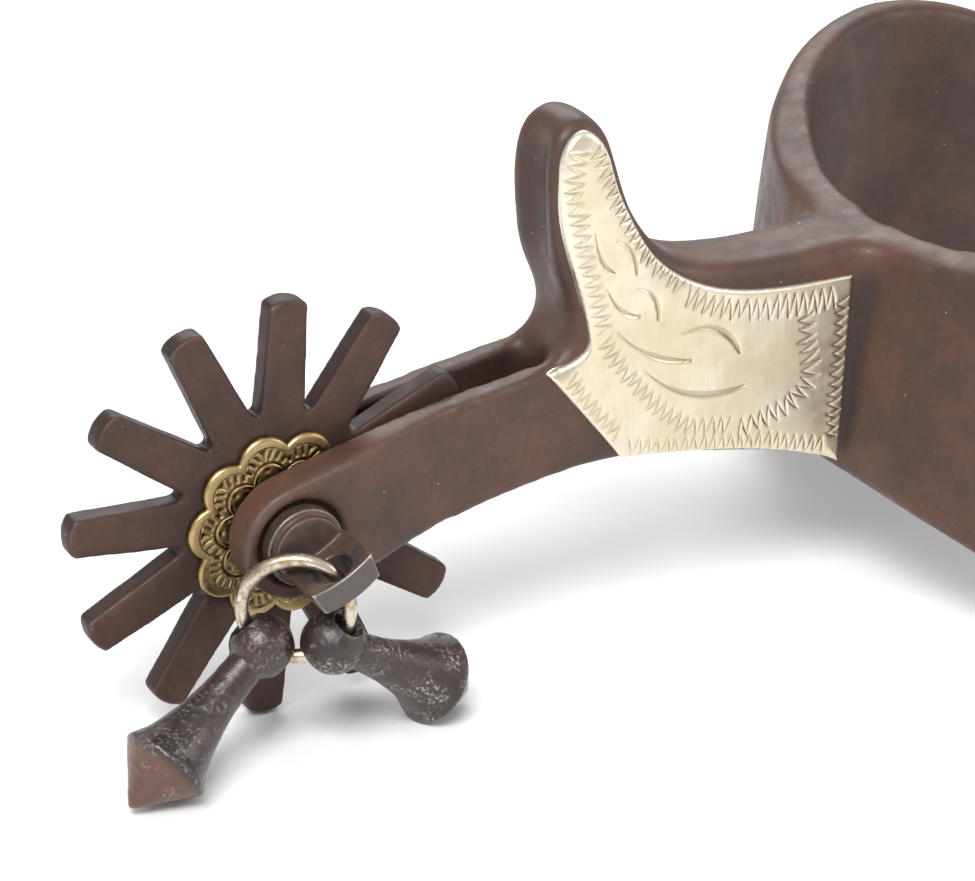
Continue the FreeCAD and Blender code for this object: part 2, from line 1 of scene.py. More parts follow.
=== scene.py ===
import json
import math

import bmesh
import bpy
import numpy as np
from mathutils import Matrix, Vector, geometry, noise
from mathutils.bvhtree import BVHTree


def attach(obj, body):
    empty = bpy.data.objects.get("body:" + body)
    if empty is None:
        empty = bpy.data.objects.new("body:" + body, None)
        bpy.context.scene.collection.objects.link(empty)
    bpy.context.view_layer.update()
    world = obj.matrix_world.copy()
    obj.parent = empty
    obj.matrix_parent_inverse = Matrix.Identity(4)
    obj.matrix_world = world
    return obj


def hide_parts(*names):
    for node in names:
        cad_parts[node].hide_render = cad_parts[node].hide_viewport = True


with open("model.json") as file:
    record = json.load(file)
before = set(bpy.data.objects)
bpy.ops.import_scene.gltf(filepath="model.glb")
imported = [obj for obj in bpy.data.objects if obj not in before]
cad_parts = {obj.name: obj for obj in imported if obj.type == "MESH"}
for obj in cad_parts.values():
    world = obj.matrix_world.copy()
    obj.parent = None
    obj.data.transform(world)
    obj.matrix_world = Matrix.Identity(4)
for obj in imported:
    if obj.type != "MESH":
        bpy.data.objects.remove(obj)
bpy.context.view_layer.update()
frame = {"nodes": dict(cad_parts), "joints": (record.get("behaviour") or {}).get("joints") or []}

# The looks of a western spur: a browned iron body, engraved nickel-silver plates, stamped brass
# rosettes, a star rowel, a ring with two jingle bobs and strap buttons on hangers. Shapes are
# worked in millimetres in the frame's own directions, and each piece is turned to metres last.

MM = 0.001
JOINTS = {joint["name"]: joint for joint in frame["joints"]}
ROWEL_AXIS = np.array(JOINTS["rowel_spin"]["pos_m"]) / MM
PIN_AXIS = np.array(JOINTS["rosette_right_spin"]["pos_m"]) / MM

# Camera and stage, in degrees and metres; the lens is in millimetres
LENS_MM = 147.7
VIEW_AZIMUTH = -28.56
VIEW_ELEVATION = 25.27
VIEW_DISTANCE = 0.430
AIM_FROM_ROWEL = (0.0140, -0.0250, 0.0154)
FLOOR_HALF_WIDTH = 4.0
FLOOR_GAP = 0.0002
ROOM_LIGHT = 0.62

# Mesh fineness in millimetres
BODY_VOXEL = 0.4
ROWEL_VOXEL = 0.28
SMALL_VOXEL = 0.15
TRIM_VOXEL = 0.25

# How far the edges of the iron body are eased, in millimetres; the extras add to BODY_REACH
BODY_REACH = 0.85
HORN_EXTRA_REACH = 1.35
ROOT_EXTRA_REACH = 0.9
BAND_EXTRA_REACH = 0.75
PIN_SEAT_REACH = 0.25
SLOT_REACH = 0.5

# Stretches over which one part of the iron body fades into the next. Starts and ends are forward
# of the rowel's axis, heights above it, half widths from the middle and radii from the pin's axis
HORN_START = (29.0, 34.0)
HORN_END = (70.0, 80.0)
HORN_HEIGHT = (4.0, 14.0)
ROOT_START = (66.0, 74.0)
ROOT_END = (88.0, 96.0)
ROOT_HALF_WIDTH = (12.0, 20.0)
BAND_START = (80.0, 90.0)
PIN_SEAT_RADIUS = (5.0, 5.7)
SLOT_HALF_WIDTH = (3.0, 3.6)
SLOT_END = (30.0, 33.0)

# The middle of the band's curve is this far behind its arm ends
BAND_AXIS_FROM_ARM_ENDS = 56.3

# How much darkening there is, from 0 to 1, and the stretches over which it fades: painted shade in
# the fork, in the recesses of its ears and on the rowel, and a darker inner wall of the band. The
# wall starts and the slot ends forward of the rowel's axis, and each radius is from the axis of its
# own piece
BAND_WALL_START = 76.0
INNER_WALL_DARKENING = 0.3
SLOT_SHADE = 0.6
SHADED_SLOT_HALF_WIDTH = (2.9, 3.3)
SHADED_SLOT_END = (32.0, 36.0)
SHADED_RECESS_RADIUS = (5.0, 5.6)
ROWEL_SIDE_SHADE = 0.75
ROWEL_HUB_SHADE = 0.45
ROWEL_HUB_RADIUS = (9.0, 17.0)

# How sharp an edge is, in 1/mm, where its wear starts and where it is full
BODY_WORN_EDGE = (0.35, 1.1)
ROWEL_WORN_EDGE = (0.9, 2.2)
PIN_WORN_EDGE = (2.4, 4.6)
BOB_WORN_EDGE = (1.0, 2.6)
TRIM_WORN_EDGE = (0.8, 2.4)

# Engraving strokes and gouges
STROKE_HALF_WIDTH = 0.16
STROKE_DEPTH = 0.13
STROKE_BURR = 0.02
STROKE_MARGIN = 0.6
STROKE_POINTS = 5
ZIGZAG_PITCH = 1.3
ZIGZAG_UNEVENNESS = 0.35
ZIGZAG_BOW = 0.22
BORDER_SPREAD = 1.15
GOUGE_POINT_WIDTH = 0.09
GOUGE_START_DEPTH = 0.08
GOUGE_EXTRA_DEPTH = 0.20
GOUGE_MARGIN = 1.2
GOUGE_POINTS = 14
SHALLOWEST_CUT = 0.002

# Side plates: the steps are between the points of their meshes
PLATE_RIM_STEP = 0.14
PLATE_PLAIN_STEP = 0.32
PLATE_CUT_STEP = 0.085
PLATE_RIM_MARGIN = 0.07
PLATE_INNER_SINK = 1.6
PLATE_EDGE_ROLL = 0.3
PLATE_LIFT = 0.7
PLATE_DEEPEST_BEND = 2.2
PLATE_WORN_RIM = (-0.4, -0.1)
PLATE_SIDE_WEAR = 0.4
CLEAR_OF_THE_BODY = 30.0

# Rosettes: the inward stretches are from the lobed edge, the radii from the pin's axis
ROSETTE_LOBES = 10
ROSETTE_TEETH_PER_LOBE = 7
ROSETTE_STEPS_PER_TOOTH = 8
ROSETTE_RINGS = 90
ROSETTE_FIRST_LOBE = math.radians(30)
ROSETTE_LOBE_DEPTH = 1.55
ROSETTE_BORDER = 1.35
LASHES_START = (1.4, 1.7)
LASHES_END = (2.5, 2.9)
LASHES_MIDDLE = 2.2
LASHES_LEAN = 3.2
SCALLOP_INWARD = 3.3
SCALLOP_WIDTH = 0.14
DOTS_INWARD = 4.0
DOTS_WIDTH = 0.3
DOTS_PER_LOBE = 3
PETALS = 5
PETALS_TWIST = 1.6
PETALS_END_RADIUS = (5.8, 6.6)
ROSETTE_GROUND = 0.62
ROSETTE_SHEET_SHARE = 0.42
ROSETTE_ROLL_WIDTH = 0.4
ROSETTE_ROLL_DEPTH = 0.35

# Ring, pin and bobs. The pin's bare end and a bob's cap are measured from the end of the piece
RING_STEPS_AROUND = 180
RING_STEPS_IN_SECTION = 28
RING_RUBBED_OFF = 0.04
RING_DENTS = 0.03
PIN_BARE_END = (0.10, 0.28)
BOB_CAP_START = np.array([6.0, 5.0])

# Colours, as linear red, green and blue
IRON_COOL = (0.066, 0.038, 0.031)
IRON_WARM = (0.106, 0.049, 0.033)
IRON_REDDER = (0.03, 0.0, -0.005)
IRON_MOTTLE = (0.038, 0.025, 0.021)
# The near-black of black oxide and of painted shade in hollows, the fork, the ear recesses and on
# the rowel
IRON_OXIDE_AND_SHADE = (0.014, 0.010, 0.009)
IRON_WORN = (0.21, 0.175, 0.165)
IRON_RUST = (0.15, 0.052, 0.022)
IRON_SCRATCH = (0.34, 0.31, 0.30)
IRON_DUST = (0.55, 0.50, 0.46)
CASTING_COOL = (0.022, 0.015, 0.013)
CASTING_WARM = (0.052, 0.025, 0.018)
CASTING_CAP = (0.115, 0.046, 0.030)
CASTING_BRIGHT = (0.50, 0.46, 0.43)
CASTING_RUST = (0.15, 0.062, 0.030)
SILVER_WARM = (0.76, 0.66, 0.47)
SILVER_PALE = (0.84, 0.77, 0.62)
SILVER_RUBBED = (0.62, 0.53, 0.38)
SILVER_CUT = (0.36, 0.28, 0.17)
SILVER_STAIN = (0.42, 0.31, 0.15)
SILVER_WORN = (0.92, 0.88, 0.78)
BRASS_DARK = (0.12, 0.075, 0.035)
BRASS_MIDDLE = (0.46, 0.33, 0.16)
BRASS_BRIGHT = (0.50, 0.37, 0.18)
BRASS_BLOTCH = (0.22, 0.12, 0.045)
WIRE_BRIGHT = (0.68, 0.61, 0.51)
WIRE_TARNISH = (0.38, 0.27, 0.17)
WIRE_STAIN = (0.20, 0.12, 0.07)
STEEL_COOL = (0.045, 0.034, 0.032)
STEEL_WARM = (0.085, 0.045, 0.034)
STEEL_FILED_DARK = (0.085, 0.076, 0.074)
STEEL_FILED_LIGHT = (0.125, 0.112, 0.106)
STEEL_WORN = (0.50, 0.45, 0.41)
PAPER_SHADE = (0.86, 0.86, 0.87)
PAPER_LIGHT = (0.89, 0.89, 0.89)


# ---------------------------------------------------------------- arrays and meshes

def read_points(mesh):
    values = np.empty(len(mesh.vertices) * 3)
    mesh.vertices.foreach_get("co", values)
    return values.reshape(-1, 3)


def welded(nodes):
    """The named CAD nodes in one bmesh, in millimetres, with shared corners joined."""
    bm = bmesh.new()
    for node in nodes:
        bm.from_mesh(frame["nodes"][node].data)
    bmesh.ops.scale(bm, vec=(1 / MM, 1 / MM, 1 / MM), verts=bm.verts)
    bmesh.ops.remove_doubles(bm, verts=bm.verts, dist=0.002)
    return bm


class Surface:
    """An even mesh in millimetres, shaped with arrays before it becomes a piece."""

    def __init__(self, mesh):
        self.mesh = mesh
        self.points = read_points(mesh)
        ends = np.empty(len(mesh.edges) * 2, dtype=np.int32)
        mesh.edges.foreach_get("vertices", ends)
        self.start, self.end = ends.reshape(-1, 2).T
        self.near_count = np.bincount(ends, minlength=len(self.points))
        self.layers = {}

    def near_mean(self, values):
        """The mean of each point's neighbours."""
        if values.ndim == 1:
            total = np.bincount(self.start, values[self.end], len(values))
            total = total + np.bincount(self.end, values[self.start], len(values))
            return total / self.near_count
        columns = [self.near_mean(values[:, k]) for k in range(values.shape[1])]
        return np.stack(columns, axis=1)

    def spread(self, values, rounds):
        """The values, averaged with their neighbours' as many times as rounds."""
        for _ in range(rounds):
            values = (values + self.near_mean(values)) / 2
        return values

    def ease(self, reach, rounds=40):
        """Rounds every edge over about reach millimetres, a number or one for each point."""
        spacing = self.spacing()
        strength = np.minimum(2 * np.square(reach) / (rounds * spacing ** 2), 0.6)
        strength = np.broadcast_to(strength, len(self.points))[:, None]
        for _ in range(rounds):
            self.points += strength * (self.near_mean(self.points) - self.points)

    def spacing(self):
        step = self.points[self.start] - self.points[self.end]
        return float(np.mean(np.linalg.norm(step, axis=1)))

    def normals(self):
        self.write()
        values = np.empty(len(self.points) * 3)
        self.mesh.vertex_normals.foreach_get("vector", values)
        return values.reshape(-1, 3)

    def write(self):
        self.mesh.vertices.foreach_set("co", self.points.ravel())
        self.mesh.update()

    def unevenness(self, size, depth, seed):
        """Pushes the points in and out by smooth noise, as a cast or filed surface has."""
        normals = self.normals()
        shift = Vector((seed * 7.3, seed * 3.1, seed * 5.7))
        height = [noise.noise(Vector(p) / size + shift) for p in self.points]
        self.points += normals * (np.array(height) * depth)[:, None]

    def bulge(self, rounds=3):
        """How sharply each point stands out, in 1/mm: positive on edges, negative in hollows."""
        offset = self.points - self.near_mean(self.points)
        along = np.einsum("ij,ij->i", offset, self.normals())
        return self.spread(4 * along / self.spacing() ** 2, rounds)


def remeshed(nodes, voxel):
    """An even closed surface around the named CAD nodes."""
    mesh = bpy.data.meshes.new("blank")
    bm = welded(nodes)
    exact = BVHTree.FromBMesh(bm)
    bm.to_mesh(mesh)
    bm.free()
    blank = bpy.data.objects.new("blank", mesh)
    bpy.context.scene.collection.objects.link(blank)
    modifier = blank.modifiers.new("remesh", "REMESH")
    modifier.mode = "VOXEL"
    modifier.voxel_size = voxel
    graph = bpy.context.evaluated_depsgraph_get()
    result = bpy.data.meshes.new_from_object(blank.evaluated_get(graph))
    bpy.data.objects.remove(blank)
    surface = Surface(result)
    for index, spot in enumerate(surface.points):
        surface.points[index] = exact.find_nearest(Vector(spot))[0]
    return surface


def make_piece(name, surface, body, slot, material, *replaced):
    """Turns a shaped surface into a piece of the model."""
    surface.points = surface.points * MM
    surface.write()
    mesh = surface.mesh
    mesh.name = name
    mesh.materials.clear()
    mesh.materials.append(material)
    mesh.polygons.foreach_set("use_smooth", [True] * len(mesh.polygons))
    for layer, values in surface.layers.items():
        attribute = mesh.attributes.new(layer, "FLOAT", "POINT")
        attribute.data.foreach_set("value", np.asarray(values, dtype=np.float32))
    mesh.update()
    piece = bpy.data.objects.new(name, mesh)
    bpy.context.scene.collection.objects.link(piece)
    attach(piece, body)
    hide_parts(*replaced)


def oxide_and_shade_in_hollows(surface, rounds=12):
    """1 where the surface turns inwards, where dirt and black oxide stay and painted shade darkens
    the hollows.
    """
    return ramp_up(-surface.bulge(rounds), 0.02, 0.30)


def ramp_up(values, low, high):
    """0 below low, 1 above high and smooth between."""
    t = np.clip((values - low) / (high - low), 0, 1)
    return t * t * (3 - 2 * t)


# ---------------------------------------------------------------- materials

class Shader:
    """A material's node tree, with short calls for the nodes that are used here."""

    def __init__(self, name):
        self.material = bpy.data.materials.new(name)
        self.material.use_nodes = True
        self.tree = self.material.node_tree
        self.base = self.tree.nodes["Principled BSDF"]
        coordinates = self.tree.nodes.new("ShaderNodeTexCoord")
        mapping = self.tree.nodes.new("ShaderNodeMapping")
        mapping.inputs["Scale"].default_value = (1 / MM, 1 / MM, 1 / MM)
        self.tree.links.new(coordinates.outputs["Object"], mapping.inputs["Vector"])
        self.place = mapping.outputs["Vector"]

    def link(self, source, socket):
        if isinstance(source, bpy.types.NodeSocket):
            self.tree.links.new(source, socket)
        else:
            socket.default_value = source

    def noise(self, size, detail=3.0, roughness=0.6, stretch=None):
        """Smooth noise with features of about size millimetres."""
        node = self.tree.nodes.new("ShaderNodeTexNoise")
        node.inputs["Scale"].default_value = 1 / size
        node.inputs["Detail"].default_value = detail
        node.inputs["Roughness"].default_value = roughness
        node.inputs["Distortion"].default_value = 0.0
        place = self.place
        if stretch:
            squeeze = self.tree.nodes.new("ShaderNodeMapping")
            squeeze.inputs["Scale"].default_value = stretch
            squeeze.inputs["Rotation"].default_value = (0.2, 0.1, 0.5)
            self.tree.links.new(place, squeeze.inputs["Vector"])
            place = squeeze.outputs["Vector"]
        self.tree.links.new(place, node.inputs["Vector"])
        return node.outputs["Fac"]

    def cells(self, size):
        """Distance to the nearest of many scattered points, and that point's own random colour."""
        node = self.tree.nodes.new("ShaderNodeTexVoronoi")
        node.feature = "F1"
        node.inputs["Scale"].default_value = 1 / size
        self.tree.links.new(self.place, node.inputs["Vector"])
        return node.outputs["Distance"], node.outputs["Color"]

    def layer(self, name):
        node = self.tree.nodes.new("ShaderNodeAttribute")
        node.attribute_name = name
        return node.outputs["Fac"]

    def math(self, operation, first, second=0.0):
        node = self.tree.nodes.new("ShaderNodeMath")
        node.operation = operation
        self.link(first, node.inputs[0])
        self.link(second, node.inputs[1])
        return node.outputs[0]

    def span(self, value, low, high, out_low=0.0, out_high=1.0):
        """Maps value from low..high to out_low..out_high, clamped."""
        node = self.tree.nodes.new("ShaderNodeMapRange")
        node.interpolation_type = "SMOOTHSTEP"
        self.link(value, node.inputs["Value"])
        node.inputs["From Min"].default_value = low
        node.inputs["From Max"].default_value = high
        node.inputs["To Min"].default_value = out_low
        node.inputs["To Max"].default_value = out_high
        return node.outputs["Result"]

    def blend(self, share, first, second):
        node = self.tree.nodes.new("ShaderNodeMix")
        node.data_type = "RGBA"
        self.link(share, node.inputs["Factor"])
        self.link_colour(first, node, 0)
        self.link_colour(second, node, 1)
        return [o for o in node.outputs if o.type == "RGBA"][0]

    def link_colour(self, source, node, which):
        sockets = [i for i in node.inputs if i.type == "RGBA"]
        if isinstance(source, bpy.types.NodeSocket):
            self.tree.links.new(source, sockets[which])
        else:
            sockets[which].default_value = (*source, 1.0)

    def bump(self, height, distance, under=None):
        """Fine relief, distance millimetres deep, on top of the relief under it."""
        node = self.tree.nodes.new("ShaderNodeBump")
        node.inputs["Strength"].default_value = 1.0
        node.inputs["Distance"].default_value = distance * MM
        self.link(height, node.inputs["Height"])
        if under is not None:
            self.tree.links.new(under, node.inputs["Normal"])
        return node.outputs["Normal"]

    def surface(self, colour, roughness, metallic, normal):
        self.link(colour, self.base.inputs["Base Color"])
        self.link(roughness, self.base.inputs["Roughness"])
        self.link(metallic, self.base.inputs["Metallic"])
        self.tree.links.new(normal, self.base.inputs["Normal"])
        return self.material


def specks(shader, size, radius, share):
    """1 on a few small scattered dots: radius in cells, share of the cells that have one."""
    distance, colour = shader.cells(size)
    split = shader.tree.nodes.new("ShaderNodeSeparateColor")
    shader.tree.links.new(colour, split.inputs["Color"])
    dot = shader.span(distance, radius * 0.6, radius, 1.0, 0.0)
    chosen = shader.math("GREATER_THAN", split.outputs[0], 1.0 - share)
    return shader.math("MULTIPLY", dot, chosen)


def browned_iron(name, light=1.0, red=0.0, worn=0.35, gloss=0.36):
    """Oiled brown oxide over iron, rubbed grey on edges, with specks, scratches and rust."""
    shader = Shader(name)
    clouds = shader.noise(9.0, 4.0, 0.62)
    grain = shader.noise(0.9, 3.0, 0.6)
    cool = [part * light for part in IRON_COOL]
    warm = [(part + shift * red) * light for part, shift in zip(IRON_WARM, IRON_REDDER)]
    mottle = [part * light for part in IRON_MOTTLE]
    colour = shader.blend(shader.span(clouds, 0.36, 0.66), cool, warm)
    colour = shader.blend(shader.span(grain, 0.3, 0.75, 0.0, 0.35), colour, mottle)
    # Darkens towards near-black with black oxide and painted shade where the layer says so
    oxide_and_shade = shader.math("MULTIPLY", shader.layer("oxide_and_shade"), 0.8)
    colour = shader.blend(oxide_and_shade, colour, IRON_OXIDE_AND_SHADE)
    wear = shader.math("MULTIPLY", shader.layer("wear"), shader.span(shader.noise(2.2), 0.3, 0.62))
    colour = shader.blend(shader.math("MULTIPLY", wear, worn), colour, IRON_WORN)
    rust = shader.span(shader.noise(6.5, 5.0, 0.72), 0.68, 0.80, 0.0, 0.45)
    colour = shader.blend(rust, colour, IRON_RUST)
    scratches = shader.noise(0.5, 2.0, 0.5, stretch=(1.0, 0.06, 1.6))
    scratch = shader.math("MULTIPLY", shader.span(scratches, 0.70, 0.76), 0.12)
    colour = shader.blend(scratch, colour, IRON_SCRATCH)
    dust = shader.math("MAXIMUM", specks(shader, 2.4, 0.045, 0.30), specks(shader, 5.0, 0.04, 0.5))
    colour = shader.blend(shader.math("MULTIPLY", dust, 0.75), colour, IRON_DUST)
    roughness = shader.span(shader.noise(3.0, 4.0), 0.3, 0.7, 0.38, 0.52)
    metallic = shader.math("MULTIPLY", wear, 0.35)
    normal = shader.bump(shader.noise(0.35, 3.0, 0.65), 0.012)
    normal = shader.bump(shader.noise(3.0, 2.0), 0.05, under=normal)
    shader.base.inputs["Specular IOR Level"].default_value = gloss
    return shader.surface(colour, roughness, metallic, normal)


def cast_iron(name, sparkle, red, cap_red=0.0):
    """Dark pitted casting, rubbed to bright metal on its high grains."""
    shader = Shader(name)
    pits = shader.noise(0.42, 4.0, 0.7)
    clouds = shader.noise(5.0, 4.0, 0.6)
    colour = shader.blend(shader.span(clouds, 0.4, 0.62, 0.0, red), CASTING_COOL, CASTING_WARM)
    cap = shader.math("MULTIPLY", shader.layer("cap"), cap_red)
    colour = shader.blend(cap, colour, CASTING_CAP)
    places = shader.span(shader.noise(3.4, 3.0, 0.6), 0.44, 0.62)
    rubbed = shader.math("MULTIPLY", shader.span(pits, 0.50, 0.66), places)
    rubbed = shader.math("MULTIPLY", rubbed, sparkle)
    edges = shader.math("MULTIPLY", shader.layer("wear"), shader.span(pits, 0.45, 0.68))
    edges = shader.math("MULTIPLY", edges, 0.55)
    bright = shader.math("MAXIMUM", rubbed, edges)
    colour = shader.blend(bright, colour, CASTING_BRIGHT)
    rust = shader.span(shader.noise(2.6, 5.0, 0.7), 0.64, 0.74, 0.0, 0.6)
    colour = shader.blend(rust, colour, CASTING_RUST)
    roughness = shader.span(bright, 0.0, 1.0, 0.29, 0.22)
    metallic = shader.span(bright, 0.0, 1.0, 0.1, 1.0)
    normal = shader.bump(pits, 0.03 + 0.05 * sparkle)
    shader.base.inputs["Specular IOR Level"].default_value = 0.75
    return shader.surface(colour, roughness, metallic, normal)


def nickel_silver():
    """Champagne sheet metal with fine rubbing marks and old polish in its cuts."""
    shader = Shader("nickel_silver")
    clouds = shader.noise(7.0, 4.0, 0.6)
    rubbing = shader.noise(0.30, 2.0, 0.5, stretch=(1.0, 1.0, 0.06))
    colour = shader.blend(shader.span(clouds, 0.35, 0.68), SILVER_WARM, SILVER_PALE)
    colour = shader.blend(shader.span(rubbing, 0.45, 0.8, 0.0, 0.25), colour, SILVER_RUBBED)
    cut = shader.layer("cut")
    colour = shader.blend(shader.span(cut, 0.02, 0.14, 0.0, 0.45), colour, SILVER_CUT)
    stain = shader.span(shader.noise(1.3, 5.0, 0.75), 0.66, 0.76, 0.0, 0.5)
    colour = shader.blend(stain, colour, SILVER_STAIN)
    wear = shader.layer("wear")
    colour = shader.blend(shader.math("MULTIPLY", wear, 0.5), colour, SILVER_WORN)
    roughness = shader.span(shader.noise(2.0, 4.0), 0.3, 0.7, 0.30, 0.44)
    normal = shader.bump(rubbing, 0.006)
    normal = shader.bump(shader.noise(2.5, 2.0), 0.03, under=normal)
    return shader.surface(colour, roughness, 1.0, normal)


def antique_brass():
    """Stamped brass, bright on its high places and dark with age in its low ones."""
    shader = Shader("antique_brass")
    patches = shader.span(shader.noise(1.1, 4.0), 0.2, 0.8, -0.22, 0.22)
    age = shader.math("ADD", shader.layer("relief"), patches)
    colour = shader.blend(shader.span(age, 0.18, 0.62), BRASS_DARK, BRASS_MIDDLE)
    colour = shader.blend(shader.span(age, 0.7, 1.05, 0.0, 0.6), colour, BRASS_BRIGHT)
    blotches = shader.span(shader.noise(2.7, 4.0, 0.7), 0.56, 0.72, 0.0, 0.45)
    colour = shader.blend(blotches, colour, BRASS_BLOTCH)
    roughness = shader.span(shader.noise(0.9, 3.0), 0.3, 0.7, 0.26, 0.42)
    normal = shader.bump(shader.noise(0.22, 3.0), 0.02)
    return shader.surface(colour, roughness, 1.0, normal)


def nickel_wire():
    """Worn bright wire with brownish tarnish."""
    shader = Shader("nickel_wire")
    clouds = shader.noise(1.6, 4.0, 0.65)
    colour = shader.blend(shader.span(clouds, 0.42, 0.66), WIRE_BRIGHT, WIRE_TARNISH)
    stains = shader.span(shader.noise(0.6, 4.0, 0.7), 0.60, 0.72, 0.0, 0.7)
    colour = shader.blend(stains, colour, WIRE_STAIN)
    roughness = shader.span(clouds, 0.3, 0.7, 0.20, 0.40)
    normal = shader.bump(shader.noise(0.5, 4.0, 0.6), 0.03)
    return shader.surface(colour, roughness, 1.0, normal)


def filed_steel():
    """The rowel pin: browned steel, bright on its arrises and bare on its sawn end."""
    shader = Shader("filed_steel")
    clouds = shader.noise(2.4, 4.0, 0.65)
    colour = shader.blend(shader.span(clouds, 0.36, 0.62), STEEL_COOL, STEEL_WARM)
    bare = shader.layer("bare")
    files = shader.noise(0.16, 2.0, 0.5, stretch=(1.0, 1.0, 0.10))
    steel = shader.blend(files, STEEL_FILED_DARK, STEEL_FILED_LIGHT)
    colour = shader.blend(bare, colour, steel)
    wear = shader.layer("wear")
    colour = shader.blend(shader.math("MULTIPLY", wear, 0.7), colour, STEEL_WORN)
    roughness = shader.span(shader.noise(0.8, 3.0), 0.3, 0.7, 0.30, 0.44)
    metallic = shader.math("MAXIMUM", shader.math("MULTIPLY", bare, 0.55), wear)
    normal = shader.bump(shader.noise(0.3, 3.0), 0.012)
    return shader.surface(colour, roughness, metallic, normal)


# ---------------------------------------------------------------- iron body

def body_reach(points):
    """How far each point of the band and shank is eased: wide on the horn, least at the pin."""
    x = points[:, 0] - ROWEL_AXIS[0]
    y = np.abs(points[:, 1])
    z = points[:, 2] - ROWEL_AXIS[2]
    reach = np.full(len(points), BODY_REACH)
    horn = ramp_up(x, *HORN_START) * (1 - ramp_up(x, *HORN_END)) * ramp_up(z, *HORN_HEIGHT)
    reach += HORN_EXTRA_REACH * horn
    root = ramp_up(x, *ROOT_START) * (1 - ramp_up(x, *ROOT_END)) * (1 - ramp_up(y, *ROOT_HALF_WIDTH))
    reach += ROOT_EXTRA_REACH * root
    reach += BAND_EXTRA_REACH * ramp_up(x, *BAND_START)
    from_pin = np.hypot(x, points[:, 2] - PIN_AXIS[2])
    seat = 1 - ramp_up(from_pin, *PIN_SEAT_RADIUS)
    reach = reach * (1 - seat) + PIN_SEAT_REACH * seat
    slot = (1 - ramp_up(y, *SLOT_HALF_WIDTH)) * (1 - ramp_up(x, *SLOT_END))
    return reach * (1 - slot) + SLOT_REACH * slot


def body_oxide_and_shade(surface):
    """Black oxide and painted shade in the hollows, a darker inner wall of the band, and painted
    shade in the fork and in the recesses of its ears.
    """
    x, y, z = (surface.points - [ROWEL_AXIS[0], 0, PIN_AXIS[2]]).T
    band_axis = x.max() - BAND_AXIS_FROM_ARM_ENDS
    inward = np.stack([band_axis - x, -y], axis=1)
    inward /= np.linalg.norm(inward, axis=1)[:, None]
    facing = np.einsum("ij,ij->i", inward, surface.normals()[:, :2])
    # The band's inner wall is darker where it faces inwards
    inner_wall = INNER_WALL_DARKENING * ramp_up(facing, 0.3, 0.7) * (x > BAND_WALL_START)
    # Painted shade in the fork and in the recesses of its ears
    fork = (1 - ramp_up(np.abs(y), *SHADED_SLOT_HALF_WIDTH)) * (1 - ramp_up(x, *SHADED_SLOT_END))
    recess = 1 - ramp_up(np.hypot(x, z), *SHADED_RECESS_RADIUS)
    hollows = oxide_and_shade_in_hollows(surface)
    return np.maximum.reduce([hollows, inner_wall, SLOT_SHADE * fork, SLOT_SHADE * recess])


def make_forged_body(material):
    """The band and shank in one piece. Gives back its outside, for the plates to lie on."""
    surface = remeshed(["heel_band", "shank"], BODY_VOXEL)
    surface.ease(body_reach(surface.points), rounds=110)
    surface.unevenness(size=11.0, depth=0.16, seed=1)
    surface.layers["wear"] = ramp_up(surface.bulge(), *BODY_WORN_EDGE)
    # Black oxide and painted shade in the hollows, painted shade in the fork and ear recesses, a
    # darker inner wall
    surface.layers["oxide_and_shade"] = body_oxide_and_shade(surface)
    faces = [tuple(face.vertices) for face in surface.mesh.polygons]
    outside = BVHTree.FromPolygons([Vector(p) for p in surface.points], faces)
    make_piece("forged_body", surface, "spur", "browned_iron", material, "heel_band", "shank")
    return outside


def make_rowel(material):
    """The star rowel, with painted shade on the sides of its spokes, between them and around its
    hub.
    """
    surface = remeshed(["rowel"], ROWEL_VOXEL)
    surface.ease(reach=0.42, rounds=20)
    surface.unevenness(size=4.0, depth=0.07, seed=2)
    surface.layers["wear"] = ramp_up(surface.bulge(), *ROWEL_WORN_EDGE)
    # Painted shade on the sides of the spokes, which face across the rowel
    sideways = 1 - np.abs(surface.normals()[:, 1])
    shaded_sides = ROWEL_SIDE_SHADE * ramp_up(sideways, 0.4, 0.8)
    x, _, z = (surface.points - ROWEL_AXIS).T
    # Painted shade around the hub
    shaded_hub = ROWEL_HUB_SHADE * (1 - ramp_up(np.hypot(x, z), *ROWEL_HUB_RADIUS))
    hollows = oxide_and_shade_in_hollows(surface)
    surface.layers["oxide_and_shade"] = np.maximum.reduce([hollows, shaded_sides, shaded_hub])
    make_piece("star_rowel", surface, "rowel", "browned_iron", material, "rowel")


# ---------------------------------------------------------------- engraved plates

def quadratic(start, middle, end, steps):
    """Points of a curve that leaves start and reaches end, pulled towards middle."""
    t = np.linspace(0, 1, steps)[:, None]
    start, middle, end = (np.array(p, dtype=float) for p in (start, middle, end))
    return (1 - t) ** 2 * start + 2 * t * (1 - t) * middle + t ** 2 * end


def evenly(points, step):
    """Points along a smooth curve through the given ones, step apart, and its directions."""
    points = np.array(points, dtype=float)
    padded = np.vstack([2 * points[0] - points[1], points, 2 * points[-1] - points[-2]])
    fine = []
    for k in range(len(points) - 1):
        p0, p1, p2, p3 = padded[k:k + 4]
        for t in np.linspace(0, 1, 24, endpoint=False):
            fine.append(0.5 * (
                2 * p1 + (p2 - p0) * t
                + (2 * p0 - 5 * p1 + 4 * p2 - p3) * t ** 2
                + (3 * p1 - p0 - 3 * p2 + p3) * t ** 3
            ))
    fine = np.array(fine + [points[-1]])
    length = np.concatenate([[0], np.cumsum(np.linalg.norm(np.diff(fine, axis=0), axis=1))])
    count = max(2, int(round(length[-1] / step)) + 1)
    at = np.linspace(0, length[-1], count)
    even = np.stack([np.interp(at, length, fine[:, k]) for k in range(2)], axis=1)
    heading = np.gradient(even, axis=0)
    return even, heading / np.linalg.norm(heading, axis=1)[:, None]


